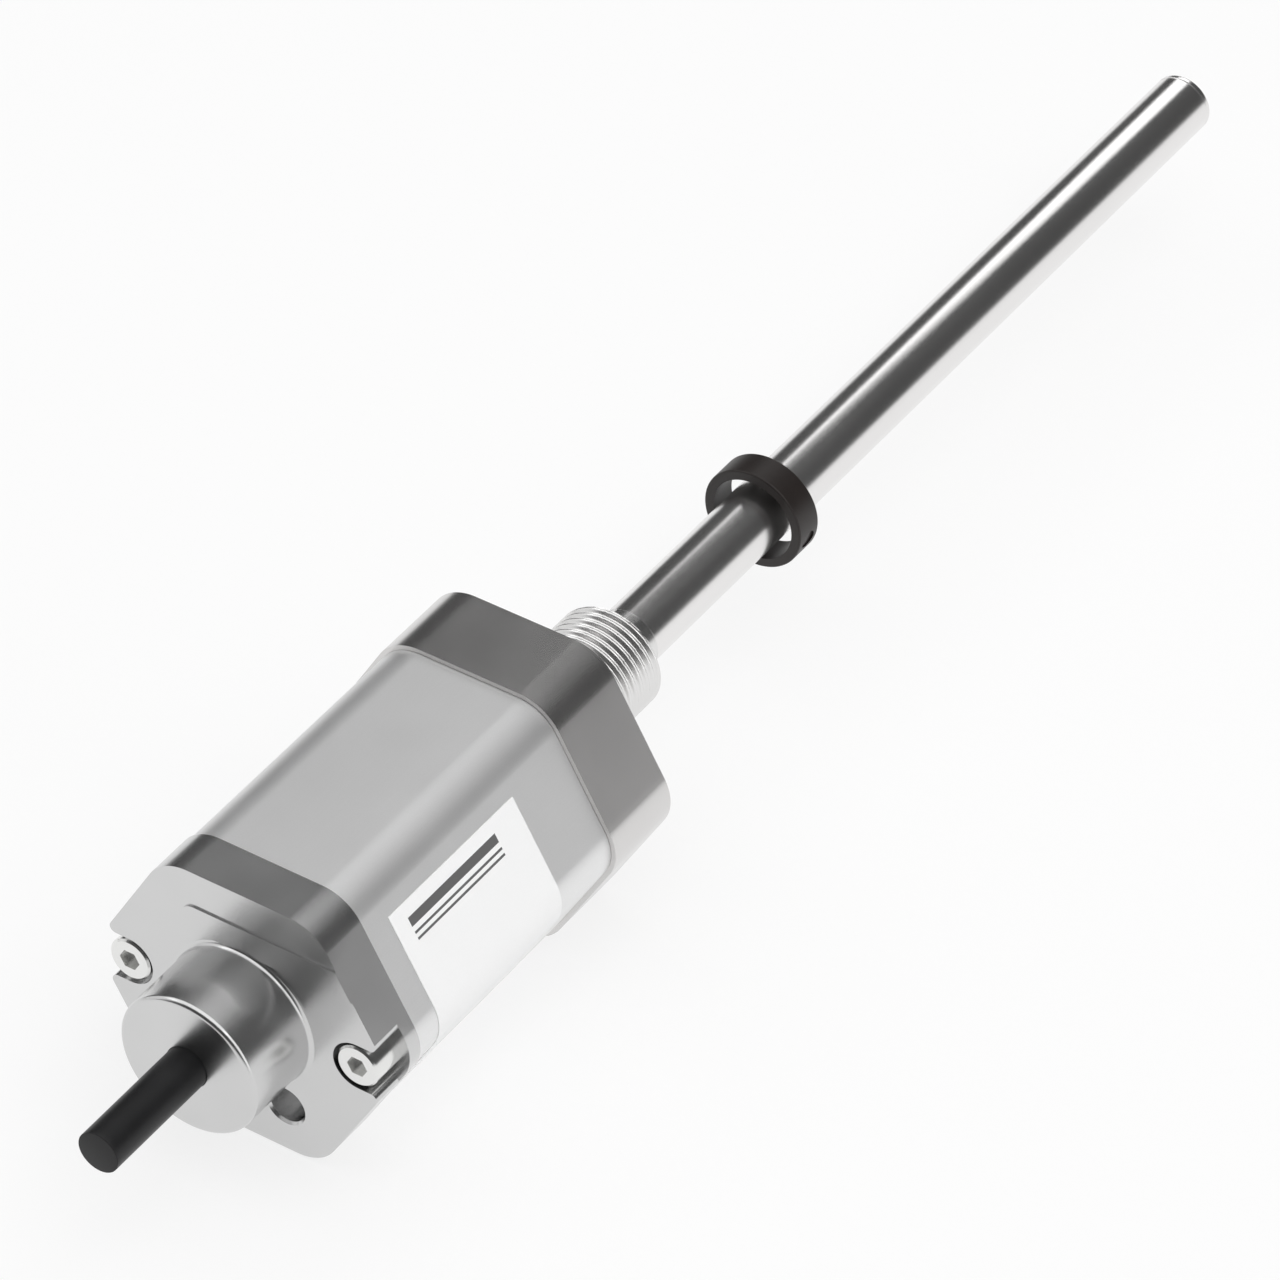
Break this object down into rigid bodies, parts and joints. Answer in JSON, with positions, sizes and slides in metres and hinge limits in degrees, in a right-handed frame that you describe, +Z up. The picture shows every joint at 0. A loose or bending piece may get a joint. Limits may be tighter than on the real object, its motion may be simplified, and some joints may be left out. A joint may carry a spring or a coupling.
{
  "type": "magnetostrictive position sensor",
  "caption": "Rod-type position sensor: hexagon housing with cable, screw-in flange with a threaded stub, pressure-tight rod and a ring magnet that slides along it.",
  "frame": {"origin": "on the rod's axis, in the plane of the flange's sealing face", "axes": "+X along the rod to its tip, +Z up and square to one flat of the hexagon; the cap's screws lie at +Y and -Y, and the label is on the two flats on the -Y side"},
  "size_m": [0.2929, 0.0506, 0.046],
  "materials": {
    "flange_steel": "fine turned and milled stainless steel",
    "tube_steel": "polished stainless tube",
    "screw_steel": "bright stainless fasteners",
    "wire_steel": "drawn nickel-iron wire",
    "housing_aluminium": "matte anodised extrusion",
    "cap_aluminium": "satin machined casting",
    "copper": "enamelled copper",
    "brass": "plain brass",
    "seal_rubber": "black nitrile rubber",
    "spacer_rubber": "red-brown silicone rubber",
    "carrier_plastic": "black glass-filled moulding",
    "sleeve_plastic": "white extruded tube",
    "bobbin_plastic": "natural moulding",
    "board_laminate": "green solder resist",
    "component_plastic": "black moulded parts",
    "core_plastic": "coloured wire insulation",
    "cable_jacket": "black satin jacket",
    "label_film": "white film with plain grey bars",
    "magnet_ferrite": "black-brown bonded ferrite",
    "bias_ferrite": "sintered ferrite"
  },
  "bodies": {
    "sensor": {"mounting_flange": "flange_steel", "flange_o_ring": "seal_rubber", "pressure_tube": "tube_steel", "tube_end_plug": "tube_steel", "waveguide": "wire_steel", "waveguide_sleeve": "sleeve_plastic", "return_wire": "copper", "tube_spacers": "spacer_rubber", "waveguide_damper": "spacer_rubber", "end_link": "brass", "converter_carrier": "carrier_plastic", "coil_bobbin": "bobbin_plastic", "pickup_coil": "copper", "waveguide_clamp": "brass", "bias_magnet": "bias_ferrite", "front_housing_o_ring": "seal_rubber", "housing": "housing_aluminium", "rear_housing_o_ring": "seal_rubber", "board_tray": "carrier_plastic", "circuit_board": "board_laminate", "board_components": "component_plastic", "board_header": "bobbin_plastic", "cable_cores": "core_plastic", "end_cap": "cap_aluminium", "cap_screws": "screw_steel", "screw_washers": "screw_steel", "cable_grommet": "seal_rubber", "cable_ferrule": "brass", "signal_cable": "cable_jacket", "label": "label_film"},
    "magnet": {"position_magnet": "magnet_ferrite"}
  },
  "joints": [
    {"name": "magnet_slide", "type": "slide", "parent": "sensor", "child": "magnet", "axis": [1, 0, 0], "range_m": [-0.032, 0.122]}
  ]
}
